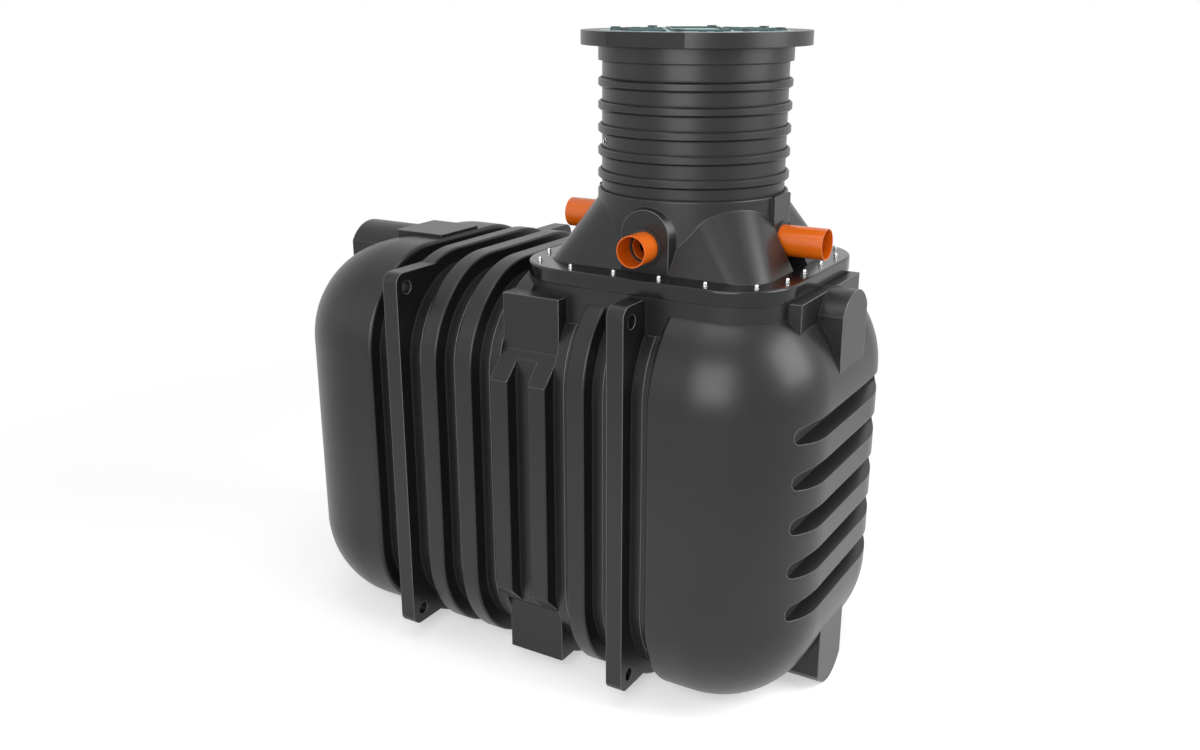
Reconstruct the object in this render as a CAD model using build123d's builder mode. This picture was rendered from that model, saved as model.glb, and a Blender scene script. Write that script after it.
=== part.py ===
from build123d import *
import math
import os

# Underground rainwater tank with a bolted access dome and a ribbed shaft.
# Frame: X along the tank, Y across it, Z up. Origin at the middle of the
# tank's footprint, on the plane that it stands on. Millimetres.

# Moulded tank body
body_length = 2206.0
body_width = 1210.0
body_height = 1563.0
corner_r = 392.0  # long edges of the body, seen from its end
end_r = 382.0  # rounding of the two closed ends
wall = 8.0
cap_length = 505.0  # of each smooth end
groove_depth = 58.0  # between the hoops
rim_r = 9.0  # rounding of the hoops' outer edges
cap_rim_r = 16.0  # rounding of the smooth ends' inner edges
least_r = 2.0  # of any rounding on the inside of the wall
rib_pitch = 160.0
rib_width = 74.0
overlap = 2.0  # of one form with the next, where they are joined

# Ears on the two outer hoops
ear_width = 64.0
ear_top_gap = 38.0  # below the body's top
ear_low_gap = 70.0  # above its underside
ear_round = 42.0
ear_hole_r = 25.0
ear_hole_inset = 58.0  # from the ear's side and from its end

# Plain blocks on the middle hoop
block_set_back = 97.0  # from the body's side
block_top_gap = 71.0
block_low_gap = 63.0
block_height = 204.0
block_reach = 250.0  # how far the blocks run into the body

# Grooves in the closed end under the shaft
groove_count = 5
groove_pitch = 164.0
groove_rise = 6.5  # middle groove above the body's middle
groove_mouth = 84.0
groove_floor = 46.0
groove_recess = 58.0
groove_end_gap = 194.0  # from the body's side to the floor's end
groove_end_r = 20.0

# Bosses at the top of both ends, the feet below them and the left pad
boss_half_width = 124.0
boss_arc_r = 142.0
boss_set_back = 9.0  # from the end's tip
boss_drop = 29.0  # boss under the shaft, below the body's top
boss_rise = 14.0  # the other boss and its pad, above it
boss_root = 2.6  # groove pitches from the middle groove to where boss and foot start
foot_half_width = 118.0
foot_arc_r = 142.0
foot_set_back = 19.0
pad_length = 238.0
pad_gap = 10.0  # pad stops this far before the smooth end's edge
pad_corner_r = 10.0

# Neck, bolted plate and ledge
shaft_set_back = 648.0  # shaft's axis from the end's tip
plate_rise = 25.0  # plate's top above the body's top
plate_thickness = 53.0
plate_length = 1030.0
plate_side_gap = 143.0  # from the body's side
plate_corner_r = 230.0
plate_top_r = 8.0
plate_low_r = 3.0
neck_inset = 7.0
neck_depth = 250.0
ledge_set_back = 97.0
ledge_half_width = 285.0
ledge_run = 190.0
ledge_gap = 5.0  # under the plate
ledge_root = 164.0

# Dome
dome_base_length = 858.0
dome_base_width = 722.0
dome_base_r = 120.0
dome_top_length = 590.0
dome_top_width = 534.0
dome_top_r = 199.0
dome_height = 252.0
dome_neck_r = 343.0
dome_rim_r = 6.0
slot_half_width = 68.0  # recess for a pipe between two buttresses
slot_set_in = 77.0  # from the base's end to the pipe's flat
front_boss_proud = 1.0  # beyond the base's side
front_boss_half = 92.0
front_boss_top = 220.0
front_boss_draft = 20.0  # degrees
front_boss_depth = 80.0

# Pipes and their seals
pipe_r = 55.0
pipe_wall = 3.2
pipe_draw = 0.8  # the inserted end is drawn in by this much
pipe_shoulder = 2.0  # from the seal to where the full size starts
inlet_h = 116.0  # axis above the plate, pipe away from the shaft's side
outlet_h = 92.0  # axis above the plate, the other two
inlet_reach = 515.0  # pipe ends, from the shaft's axis
outlet_reach = 522.0
pipe_reach_front = 457.0
pipe_inside = 60.0
seal_r = 65.0
seal_hole_gap = 5.0  # seal's thickness in the hole
seal_proud = 4.0
clearance = 0.3
past = 20.0  # how far a cutting solid runs on

# Shaft, frame and lid
shaft_r = 329.0
shaft_rise = 498.0  # above the dome
shaft_foot_gap = 5.0  # above the highest pipe
ring_proud = 14.0
ring_height = 30.0
ring_chamfer = 5.0
ring_count = 5
ring_pitch = 79.5
ring_start = 54.0  # first ring's middle above the dome
collar_height = 52.0
frame_overhang = 61.5
frame_height = 48.0
frame_flat = 27.0  # depth of the flats on the frame's two sides
frame_lip = 5.0
lid_gap = 1.0
lid_ledge = 19.0  # how far the lid reaches over the shaft's bore
lid_thickness = 22.0
panel_width = 170.0
panel_length = 460.0
panel_turn = 30.0  # degrees
panel_bar = 12.0
panel_height = 6.0
lug_count = 8
lug_circle_r = 292.0
lug_r = 11.0
lug_height = 10.0
lug_start = 15.0  # degrees

half_width = body_width / 2
half_length = body_length / 2
body_middle_z = body_height / 2
end_edge_x = half_length - cap_length
ear_x = 3 * rib_pitch
ear_split = 2.5 * rib_pitch
end_split = (end_edge_x + ear_x + ear_width / 2) / 2
block_face_y = half_width - block_set_back
block_top_z = body_height - block_top_gap
groove_middle_z = body_middle_z + groove_rise
groove_floor_x = half_length - groove_recess
boss_face_x = half_length - boss_set_back
foot_face_x = half_length - foot_set_back
boss_root_z = groove_middle_z + boss_root * groove_pitch
foot_root_z = groove_middle_z - boss_root * groove_pitch
shaft_x = half_length - shaft_set_back
plate_top_z = body_height + plate_rise
plate_low_z = plate_top_z - plate_thickness
plate_width = body_width - 2 * plate_side_gap
neck_low_z = plate_low_z - neck_depth
dome_top_z = plate_top_z + dome_height
slot_face_x = dome_base_length / 2 - slot_set_in
front_boss_y = dome_base_width / 2 + front_boss_proud
seal_hole_r = pipe_r + seal_hole_gap
shaft_foot_z = plate_top_z + max(inlet_h, outlet_h) + pipe_r + shaft_foot_gap
shaft_top_z = dome_top_z + shaft_rise
ring_r = shaft_r + ring_proud
frame_r = ring_r + frame_overhang
frame_top_z = shaft_top_z + frame_height
lid_r = shaft_r - wall + lid_ledge
lid_seat_z = frame_top_z - lid_thickness

os.makedirs("parts", exist_ok=True)


def body_bar(x0, x1, inset, low_rim=0.0, high_rim=0.0):
    """Straight solid of the body's section, drawn inwards by inset, with its end edges rounded."""
    with BuildPart() as bar:
        with BuildSketch(Plane.YZ.offset(x0)):
            with Locations((0, body_middle_z)):
                RectangleRounded(body_width - 2 * inset, body_height - 2 * inset, corner_r - inset)
        extrude(amount=x1 - x0)
        ends = bar.faces().filter_by(Axis.X).sort_by(Axis.X)
        if low_rim > 0:
            fillet(ends[0].edges(), low_rim)
        if high_rim > 0:
            fillet(bar.faces().filter_by(Axis.X).sort_by(Axis.X)[-1].edges(), high_rim)
    return bar.part


def inner_round(radius, inset):
    """Rounding on a wall's inside that follows a rounding on its outside."""
    return max(radius - inset, least_r)


def hoop_form(first, last, hoops, inset):
    """Barrel between two splits with its hoops, given as station and width."""
    rim = inner_round(rim_r, inset)
    with BuildPart() as form:
        add(body_bar(first, last, groove_depth + inset))
        for x, width in hoops:
            half = width / 2 - inset
            add(body_bar(x - half, x + half, inset, rim, rim))
    return form.part


def end_solid(side, inset):
    """Closed end of the body. Side is 1 under the shaft and -1 away from it."""
    edge = end_edge_x + inset
    tip = half_length - inset
    rim = inner_round(cap_rim_r, inset)
    with BuildPart() as end:
        if side > 0:
            add(body_bar(edge, tip, inset, rim, end_r - inset))
            add(body_bar(end_split, edge + overlap, groove_depth + inset))
        else:
            add(body_bar(-tip, -edge, inset, end_r - inset, rim))
            add(body_bar(-edge - overlap, -end_split, groove_depth + inset))
    return end.part


def arch_bar(x, reach, half, arc_r, top_z, root_z):
    """Bar along X with upright sides and an arched edge, above its root or below it."""
    up = 1 if top_z > root_z else -1
    spring_z = top_z - up * (arc_r - math.sqrt(arc_r**2 - half**2))
    with BuildPart() as bar:
        with BuildSketch(Plane.YZ.offset(x)):
            with BuildLine():
                ThreePointArc((-half, spring_z), (0, top_z), (half, spring_z))
                Polyline((half, spring_z), (half, root_z), (-half, root_z), (-half, spring_z))
            make_face()
        extrude(amount=reach)
    return bar.part


def end_bosses(side, inset, boss_top, boss_low, foot_high):
    """Boss at the top of a closed end and the foot at its low edge."""
    root = end_edge_x + 2 * cap_rim_r + inset
    boss_face = boss_face_x - inset
    foot_face = foot_face_x - inset
    boss_start = root if side > 0 else -boss_face
    foot_start = root if side > 0 else -foot_face
    with BuildPart() as bosses:
        add(
            arch_bar(
                boss_start,
                boss_face - root,
                boss_half_width - inset,
                boss_arc_r - inset,
                boss_top - inset,
                boss_low,
            )
        )
        add(
            arch_bar(
                foot_start, foot_face - root, foot_half_width - inset, foot_arc_r - inset, inset, foot_high
            )
        )
    return bosses.part


def end_grooves(inset):
    """Horizontal grooves across the closed end under the shaft, as solids to cut away."""
    flare = math.degrees(math.atan2((groove_mouth - groove_floor) / 2, groove_recess))
    floor_half = half_width - groove_end_gap + inset
    with BuildPart() as grooves:
        with BuildSketch(Plane.YZ.offset(groove_floor_x - inset)):
            for n in range(groove_count):
                z = groove_middle_z + (n - (groove_count - 1) / 2) * groove_pitch
                with Locations((0, z)):
                    RectangleRounded(2 * floor_half, groove_floor + 2 * inset, groove_end_r)
        extrude(amount=groove_recess + inset + past, taper=-flare)
    return grooves.part


def block_solid(inset):
    """The two plain blocks on each side of the middle hoops, at their top and low ends."""
    x0 = -rib_width / 2 + inset
    x1 = rib_pitch + rib_width / 2 - inset
    inner_y = block_face_y - block_reach
    face_y = block_face_y - inset
    with BuildPart() as blocks:
        for z0 in (block_low_gap, block_top_z - block_height):
            with BuildSketch(Plane.XY.offset(z0 + inset)):
                for side in (-1, 1):
                    with Locations(((x0 + x1) / 2, side * (face_y + inner_y) / 2)):
                        Rectangle(x1 - x0, face_y - inner_y)
            extrude(amount=block_height - 2 * inset)
    return blocks.part


def block_relief(inset):
    """What the blocks' outer faces cut from the hoops, with 45 degree slopes above and below."""
    face_y = block_face_y - inset
    far = half_width + past
    rise = far - face_y
    z_high = block_top_z - block_height - inset
    z_low = block_low_gap + block_height + inset
    x0 = -rib_width / 2 - inset
    with BuildPart() as relief:
        for side in (-1, 1):
            for z_start, z_slope, z_end in (
                (z_high, z_high - rise, body_height + past),
                (z_low, z_low + rise, -past),
            ):
                with BuildSketch(Plane.YZ.offset(x0)):
                    with BuildLine():
                        Polyline(
                            (side * face_y, z_start),
                            (side * far, z_slope),
                            (side * far, z_end),
                            (side * face_y, z_end),
                            close=True,
                        )
                    make_face()
                extrude(amount=rib_pitch + rib_width + 2 * inset)
    return relief.part


def neck_block(inset, z0, z1):
    """Rounded rectangle under the bolted plate, as a solid between two heights."""
    with BuildPart() as block:
        with BuildSketch(Plane.XY.offset(z0)):
            with Locations((shaft_x, 0)):
                RectangleRounded(
                    plate_length - 2 * neck_inset - 2 * inset,
                    plate_width - 2 * neck_inset - 2 * inset,
                    plate_corner_r - neck_inset - inset,
                )
        extrude(amount=z1 - z0)
    return block.part


def neck_cut():
    """Space of the neck and of the plate above it, cut from the body's shells."""
    with BuildPart() as cut:
        add(neck_block(0, neck_low_z, body_height + past))
        add(neck_block(-neck_inset - clearance, plate_low_z - clearance, body_height + past))
    return cut.part


def ears(x):
    """Corner webs of an ear hoop, with their eyes. They fill the hoop's rounded corners."""
    ear_top_z = body_height - ear_top_gap
    eye_y = half_width - ear_hole_inset
    with BuildPart() as webs:
        with BuildSketch(Plane.YZ.offset(x - ear_width / 2)):
            with Locations((0, (ear_top_z + ear_low_gap) / 2)):
                RectangleRounded(body_width, ear_top_z - ear_low_gap, ear_round)
            with Locations((0, body_middle_z)):
                RectangleRounded(
                    body_width - 2 * wall, body_height - 2 * wall, corner_r - wall, mode=Mode.SUBTRACT
                )
            with Locations(
                (eye_y, ear_top_z - ear_hole_inset),
                (-eye_y, ear_top_z - ear_hole_inset),
                (eye_y, ear_low_gap + ear_hole_inset),
                (-eye_y, ear_low_gap + ear_hole_inset),
            ):
                Circle(ear_hole_r, mode=Mode.SUBTRACT)
        extrude(amount=ear_width)
    return webs.part


def left_form(inset):
    """Smooth end away from the shaft, with its boss, foot and raised pad."""
    pad_x1 = -(end_edge_x + pad_gap + inset)
    top_z = body_height + boss_rise
    with BuildPart() as form:
        add(end_solid(-1, inset))
        add(end_bosses(-1, inset, top_z, body_middle_z, body_middle_z))
        with BuildSketch(Plane.XY.offset(body_middle_z)):
            with Locations((pad_x1 - pad_length / 2, 0)):
                RectangleRounded(pad_length, 2 * (boss_half_width - inset), pad_corner_r)
        extrude(amount=top_z - inset - body_middle_z)
    return form.part


def right_form(inset):
    """Closed end under the shaft, with its grooves, boss, foot and ledge."""
    ledge_top = plate_low_z - ledge_gap - inset
    with BuildPart() as form:
        add(end_solid(1, inset))
        add(end_grooves(inset), mode=Mode.SUBTRACT)
        add(end_bosses(1, inset, body_height - boss_drop, boss_root_z + inset, foot_root_z - inset))
        with BuildSketch(Plane.XY.offset(ledge_top - ledge_root)):
            with Locations((half_length - ledge_set_back - inset - ledge_run / 2, 0)):
                Rectangle(ledge_run, 2 * (ledge_half_width - inset))
        extrude(amount=ledge_root)
    return form.part


def middle_form(inset):
    """Double hoop in the middle with the blocks set into it."""
    with BuildPart() as form:
        add(hoop_form(-rib_pitch / 2, 1.5 * rib_pitch, [(0, rib_width), (rib_pitch, rib_width)], inset))
        add(block_relief(inset), mode=Mode.SUBTRACT)
        add(block_solid(inset))
    return form.part


# Moulded shells: two closed ends and the hooped barrel between them
under_neck = []

with BuildPart() as end_shell_left:
    add(left_form(0))
    add(left_form(wall), mode=Mode.SUBTRACT)
end_shell_left.part.label = "end_shell_left"
export_step(end_shell_left.part, "parts/end_shell_left.step")

right_inner = right_form(wall)
under_neck.append(right_inner)
with BuildPart() as end_shell_right:
    add(right_form(0))
    add(right_inner, mode=Mode.SUBTRACT)
    add(neck_cut(), mode=Mode.SUBTRACT)
end_shell_right.part.label = "end_shell_right"
export_step(end_shell_right.part, "parts/end_shell_right.step")

for name, side in (("ear_hoop_left", -1), ("ear_hoop_right", 1)):
    low, high = sorted((side * end_split, side * ear_split))
    hoops = [(side * ear_x, ear_width)]
    hoop_inner = hoop_form(low, high, hoops, wall)
    with BuildPart() as ear_hoop:
        add(hoop_form(low, high, hoops, 0))
        add(ears(side * ear_x))
        add(hoop_inner, mode=Mode.SUBTRACT)
        if side > 0:
            add(neck_cut(), mode=Mode.SUBTRACT)
            under_neck.append(hoop_inner)
    ear_hoop.part.label = name
    export_step(ear_hoop.part, f"parts/{name}.step")

for number, station in enumerate((-2 * rib_pitch, -rib_pitch, 2 * rib_pitch), start=1):
    low = station - rib_pitch / 2
    high = station + rib_pitch / 2
    hoop_inner = hoop_form(low, high, [(station, rib_width)], wall)
    with BuildPart() as rib_hoop:
        add(hoop_form(low, high, [(station, rib_width)], 0))
        add(hoop_inner, mode=Mode.SUBTRACT)
        if high > shaft_x - plate_length / 2:
            add(neck_cut(), mode=Mode.SUBTRACT)
            under_neck.append(hoop_inner)
    rib_hoop.part.label = f"rib_hoop_{number}"
    export_step(rib_hoop.part, f"parts/rib_hoop_{number}.step")

middle_inner = middle_form(wall)
under_neck.append(middle_inner)
with BuildPart() as middle_hoop:
    add(middle_form(0))
    add(middle_inner, mode=Mode.SUBTRACT)
    add(neck_cut(), mode=Mode.SUBTRACT)
middle_hoop.part.label = "middle_hoop"
export_step(middle_hoop.part, "parts/middle_hoop.step")

# Neck: a collar that joins the barrel to the bolted plate
with BuildPart() as neck:
    add(neck_block(0, neck_low_z, plate_low_z))
    add(neck_block(wall, neck_low_z, plate_low_z), mode=Mode.SUBTRACT)
    for inner in under_neck:
        add(inner, mode=Mode.SUBTRACT)
neck.part.label = "neck"
export_step(neck.part, "parts/neck.step")

# Bolted plate that closes the neck round the dome's opening
with BuildPart() as dome_plate:
    with BuildSketch(Plane.XY.offset(plate_low_z)):
        with Locations((shaft_x, 0)):
            RectangleRounded(plate_length, plate_width, plate_corner_r)
    extrude(amount=plate_thickness)
    fillet(dome_plate.faces().sort_by(Axis.Z)[-1].edges(), plate_top_r)
    fillet(dome_plate.faces().sort_by(Axis.Z)[0].edges(), plate_low_r)
    with BuildSketch(Plane.XY.offset(plate_low_z)):
        with Locations((shaft_x, 0)):
            Circle(shaft_r - wall)
    extrude(amount=plate_thickness, mode=Mode.SUBTRACT)
dome_plate.part.label = "dome_plate"
export_step(dome_plate.part, "parts/dome_plate.step")


def buttress_solid(inset):
    """Tapering rounded rectangle with a recess at each end, which leaves four buttresses."""
    with BuildPart() as buttress:
        with BuildSketch(Plane.XY.offset(plate_top_z)):
            with Locations((shaft_x, 0)):
                RectangleRounded(
                    dome_base_length - 2 * inset, dome_base_width - 2 * inset, dome_base_r - inset
                )
        with BuildSketch(Plane.XY.offset(dome_top_z)):
            with Locations((shaft_x, 0)):
                RectangleRounded(
                    dome_top_length - 2 * inset, dome_top_width - 2 * inset, dome_top_r - inset
                )
        loft(ruled=True)
        with BuildSketch(Plane.XY.offset(plate_top_z)):
            for side in (-1, 1):
                with Locations((shaft_x + side * (slot_face_x - inset + dome_base_length / 2), 0)):
                    Rectangle(dome_base_length, 2 * (slot_half_width + inset))
        extrude(amount=dome_height, mode=Mode.SUBTRACT)
    return buttress.part


def front_bosses(inset):
    """Arched bosses for the pipe at the front and its twin at the back, wider at their roots."""
    half = front_boss_half - inset
    arc_z = plate_top_z + front_boss_top - front_boss_half
    with BuildPart() as bosses:
        for side in (-1, 1):
            middle = (shaft_x, side * (front_boss_y - inset), arc_z)
            face = Plane(origin=middle, x_dir=(-side, 0, 0), z_dir=(0, side, 0))
            with BuildSketch(face):
                with BuildLine():
                    ThreePointArc((-half, 0), (0, half), (half, 0))
                    Polyline((half, 0), (half, -front_boss_top), (-half, -front_boss_top), (-half, 0))
                make_face()
            extrude(amount=inset - front_boss_depth, taper=-front_boss_draft)
        with BuildSketch(Plane.XY.offset(plate_top_z)):
            with Locations((shaft_x, 0)):
                Rectangle(2 * dome_base_length, 2 * dome_base_width)
        extrude(amount=dome_height, mode=Mode.INTERSECT)
    return bosses.part


def side_bosses(inset, top_z):
    """Upright bosses in the recesses, which give each side pipe's seal a flat to sit on."""
    with BuildPart() as bosses:
        with BuildSketch(Plane.XY.offset(plate_top_z)):
            with Locations((shaft_x, 0)):
                Rectangle(2 * (slot_face_x - inset), 2 * (slot_half_width - inset))
        extrude(amount=top_z - plate_top_z)
    return bosses.part


def bore_along_x(radius, height, x0, x1):
    """Cylinder along X at a height above the plate, between two distances from the shaft's axis."""
    with BuildPart() as bore:
        with BuildSketch(Plane.YZ.offset(shaft_x + x0)):
            with Locations((0, plate_top_z + height)):
                Circle(radius)
        extrude(amount=x1 - x0)
    return bore.part


def bore_along_y(radius, y0, y1):
    """Cylinder on the front pipe's axis between two stations."""
    with BuildPart() as bore:
        with BuildSketch(Plane.XZ.offset(-y0)):
            with Locations((shaft_x, plate_top_z + outlet_h)):
                Circle(radius)
        extrude(amount=-(y1 - y0))
    return bore.part


def round_solid(radius, z0, z1, edge=0.0):
    """Upright cylinder on the shaft's axis, with its two edges cut off by a chamfer."""
    with BuildPart() as cylinder:
        with BuildSketch(Plane.XY.offset(z0)):
            with Locations((shaft_x, 0)):
                Circle(radius)
        extrude(amount=z1 - z0)
        if edge > 0:
            chamfer(cylinder.edges(), edge)
    return cylinder.part


# Dome: four buttresses, the round neck and the arched bosses, all one wall thick
with BuildPart() as dome:
    add(buttress_solid(0))
    add(front_bosses(0))
    add(side_bosses(0, dome_top_z))
    add(round_solid(dome_neck_r, plate_top_z, dome_top_z))
    fillet(dome.faces().filter_by(Axis.Z).sort_by(Axis.Z)[-1].edges(), dome_rim_r)
    add(buttress_solid(wall), mode=Mode.SUBTRACT)
    add(front_bosses(wall), mode=Mode.SUBTRACT)
    add(side_bosses(wall, shaft_foot_z), mode=Mode.SUBTRACT)
    add(round_solid(shaft_r - wall, plate_top_z, shaft_foot_z), mode=Mode.SUBTRACT)
    add(round_solid(shaft_r + clearance, shaft_foot_z, dome_top_z), mode=Mode.SUBTRACT)
    for side, height in ((1, outlet_h), (-1, inlet_h)):
        inner_x = side * (slot_face_x - pipe_inside)
        outer_x = side * (slot_face_x + past)
        add(bore_along_x(seal_hole_r, height, inner_x, outer_x), mode=Mode.SUBTRACT)
    add(bore_along_y(seal_hole_r, -front_boss_y - past, pipe_inside - front_boss_y), mode=Mode.SUBTRACT)
dome.part.label = "dome"
export_step(dome.part, "parts/dome.step")

# Three pipes, full size outside and drawn in where they pass through their seals
full_start = seal_proud + pipe_shoulder
for name, side, height, reach in (
    ("right", 1, outlet_h, outlet_reach),
    ("left", -1, inlet_h, inlet_reach),
):
    mouth = side * reach
    shoulder = side * (slot_face_x + full_start)
    inner_end = side * (slot_face_x - pipe_inside)
    with BuildPart() as pipe:
        add(bore_along_x(pipe_r, height, shoulder, mouth))
        add(bore_along_x(pipe_r - pipe_draw, height, inner_end, shoulder))
        add(bore_along_x(pipe_r - pipe_wall, height, inner_end, mouth), mode=Mode.SUBTRACT)
    pipe.part.label = f"pipe_{name}"
    export_step(pipe.part, f"parts/pipe_{name}.step")

    flat = side * slot_face_x
    back = side * (slot_face_x - wall)
    front = side * (slot_face_x + seal_proud)
    with BuildPart() as seal:
        add(bore_along_x(seal_hole_r - clearance, height, back, flat))
        add(bore_along_x(seal_r, height, flat, front))
        add(bore_along_x(pipe_r - pipe_draw + clearance, height, back, front), mode=Mode.SUBTRACT)
    seal.part.label = f"seal_{name}"
    export_step(seal.part, f"parts/seal_{name}.step")

front_mouth = -pipe_reach_front
front_shoulder = -front_boss_y - full_start
front_inner_end = pipe_inside - front_boss_y
with BuildPart() as pipe_front:
    add(bore_along_y(pipe_r, front_mouth, front_shoulder))
    add(bore_along_y(pipe_r - pipe_draw, front_shoulder, front_inner_end))
    add(bore_along_y(pipe_r - pipe_wall, front_mouth, front_inner_end), mode=Mode.SUBTRACT)
pipe_front.part.label = "pipe_front"
export_step(pipe_front.part, "parts/pipe_front.step")

with BuildPart() as seal_front:
    add(bore_along_y(seal_hole_r - clearance, -front_boss_y, wall - front_boss_y))
    add(bore_along_y(seal_r, -front_boss_y - seal_proud, -front_boss_y))
    add(
        bore_along_y(pipe_r - pipe_draw + clearance, -front_boss_y - seal_proud, wall - front_boss_y),
        mode=Mode.SUBTRACT,
    )
seal_front.part.label = "seal_front"
export_step(seal_front.part, "parts/seal_front.step")

# Ribbed shaft that stands in the dome's socket
with BuildPart() as shaft:
    add(round_solid(shaft_r, shaft_foot_z, shaft_top_z))
    for n in range(ring_count):
        ring_z = dome_top_z + ring_start + n * ring_pitch
        add(round_solid(ring_r, ring_z - ring_height / 2, ring_z + ring_height / 2, ring_chamfer))
    add(round_solid(ring_r, shaft_top_z - collar_height, shaft_top_z))
    add(round_solid(shaft_r - wall, shaft_foot_z, shaft_top_z), mode=Mode.SUBTRACT)
shaft.part.label = "shaft"
export_step(shaft.part, "parts/shaft.step")

# Frame round the top of the shaft, with a flat on each side and a seat for the lid
with BuildPart() as lid_frame:
    with BuildSketch(Plane.XY.offset(shaft_top_z)):
        with Locations((shaft_x, 0)):
            Circle(frame_r)
            Rectangle(2 * frame_r, 2 * (frame_r - frame_flat), mode=Mode.INTERSECT)
    extrude(amount=frame_height)
    add(round_solid(shaft_r - wall, shaft_top_z, lid_seat_z), mode=Mode.SUBTRACT)
    add(round_solid(lid_r + lid_gap, lid_seat_z, frame_top_z), mode=Mode.SUBTRACT)
lid_frame.part.label = "lid_frame"
export_step(lid_frame.part, "parts/lid_frame.step")

# Screwed lid with a framed panel and eight lugs for its screws
with BuildPart() as lid:
    add(round_solid(lid_r, lid_seat_z, frame_top_z))
    with BuildSketch(Plane.XY.offset(frame_top_z)):
        with Locations(Location((shaft_x, 0), panel_turn)):
            Rectangle(panel_width + 2 * panel_bar, panel_length + 2 * panel_bar)
            Rectangle(panel_width, panel_length, mode=Mode.SUBTRACT)
    extrude(amount=panel_height)
    with BuildSketch(Plane.XY.offset(frame_top_z)):
        with Locations((shaft_x, 0)):
            with PolarLocations(lug_circle_r, lug_count, start_angle=lug_start):
                Circle(lug_r)
    extrude(amount=lug_height)
lid.part.label = "lid"
export_step(lid.part, "parts/lid.step")
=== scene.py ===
import logging
import math
from collections.abc import Callable
from dataclasses import dataclass, field
from enum import Enum

import bmesh
import bpy
from mathutils import Euler, Matrix, Vector


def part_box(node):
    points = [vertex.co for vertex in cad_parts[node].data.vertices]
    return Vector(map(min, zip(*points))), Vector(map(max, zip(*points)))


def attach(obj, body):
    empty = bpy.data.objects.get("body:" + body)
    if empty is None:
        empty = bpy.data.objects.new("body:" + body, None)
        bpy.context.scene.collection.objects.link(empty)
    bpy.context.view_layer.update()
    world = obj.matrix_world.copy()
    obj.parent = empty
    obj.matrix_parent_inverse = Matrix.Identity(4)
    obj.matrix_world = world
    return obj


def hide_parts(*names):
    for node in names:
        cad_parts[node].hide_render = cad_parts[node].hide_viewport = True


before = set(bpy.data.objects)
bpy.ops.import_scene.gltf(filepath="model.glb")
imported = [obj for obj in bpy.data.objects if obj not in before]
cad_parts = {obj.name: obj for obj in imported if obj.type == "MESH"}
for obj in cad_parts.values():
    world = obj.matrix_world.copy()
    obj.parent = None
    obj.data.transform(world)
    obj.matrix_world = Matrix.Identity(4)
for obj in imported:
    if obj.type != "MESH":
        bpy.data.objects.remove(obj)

log = logging.getLogger("rainwater_tank")
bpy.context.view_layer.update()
BODY = "root"
MM = 0.001
# numbers of a colour Mix node's own sockets
MIX_FIRST = 6
MIX_SECOND = 7
MIX_RESULT = 2


class Nodes(Enum):
    """CAD nodes, in groups that share a finish."""

    MOULDED = (
        "end_shell_left",
        "end_shell_right",
        "ear_hoop_left",
        "ear_hoop_right",
        "rib_hoop_1",
        "rib_hoop_2",
        "rib_hoop_3",
        "middle_hoop",
        "neck",
        "dome",
    )
    PRESSED = ("dome_plate",)
    TURNED = ("shaft", "lid_frame")
    PIPES = ("pipe_right", "pipe_left", "pipe_front")
    SEALS = ("seal_right", "seal_left", "seal_front")
    LID = ("lid",)


class Slot(Enum):
    """Material slots of the record."""

    POLYETHYLENE = "black_polyethylene"
    PVC = "orange_pvc"
    RUBBER = "black_rubber"
    LID = "green_lid_plastic"
    STEEL = "stainless_steel"


def linear(hex_colour: str) -> tuple[float, float, float, float]:
    """Turn an sRGB hex value into the linear colour that the shaders take.

    Args:
        hex_colour: Six hex digits, as in "d9600f".

    Returns:
        Linear red, green, blue and an alpha of 1.
    """
    channels = [int(hex_colour[i : i + 2], 16) / 255 for i in (0, 2, 4)]
    lit = [c / 12.92 if c <= 0.04045 else ((c + 0.055) / 1.055) ** 2.4 for c in channels]
    return (lit[0], lit[1], lit[2], 1.0)


def add_node(
    tree: bpy.types.NodeTree,
    kind: str,
    settings: dict[str, object] | None = None,
    links: dict[str | int, bpy.types.NodeSocket] | None = None,
) -> bpy.types.Node:
    """Add a shader node with its settings and links.

    Args:
        tree: Node tree that takes the node.
        kind: Name of the node type.
        settings: Attribute values, and socket values where the name is a socket's.
        links: Output sockets to link to the node's inputs, by input name or number.

    Returns:
        The new node.
    """
    node = tree.nodes.new(kind)
    for name, value in (settings or {}).items():
        if hasattr(node, name):
            setattr(node, name, value)
        else:
            node.inputs[name].default_value = value
    for name, socket in (links or {}).items():
        tree.links.new(socket, node.inputs[name])
    return node


def only(piece: bpy.types.Object) -> None:
    """Select one object alone and make it active.

    Args:
        piece: The object.
    """
    bpy.ops.object.select_all(action="DESELECT")
    piece.select_set(True)
    bpy.context.view_layer.objects.active = piece


def start_edit(piece: bpy.types.Object, mode: str = "FACE") -> None:
    """Open a piece in edit mode with nothing selected.

    Args:
        piece: The object to shape.
        mode: Selection mode, "VERT", "EDGE" or "FACE".
    """
    only(piece)
    bpy.ops.object.mode_set(mode="EDIT")
    bpy.ops.mesh.select_mode(type=mode)
    bpy.ops.mesh.select_all(action="DESELECT")


def pick_faces(piece: bpy.types.Object, test: Callable[[Vector, Vector], bool]) -> None:
    """Select the faces whose centre and normal pass a test, in edit mode.

    Args:
        piece: The object being edited.
        test: Takes a face's centre and normal in world space.
    """
    mesh = bmesh.from_edit_mesh(piece.data)
    place = piece.matrix_world
    turn = place.to_3x3()
    for face in mesh.faces:
        face.select_set(test(place @ face.calc_center_median(), (turn @ face.normal).normalized()))
    mesh.select_flush_mode()
    bmesh.update_edit_mesh(piece.data)


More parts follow.
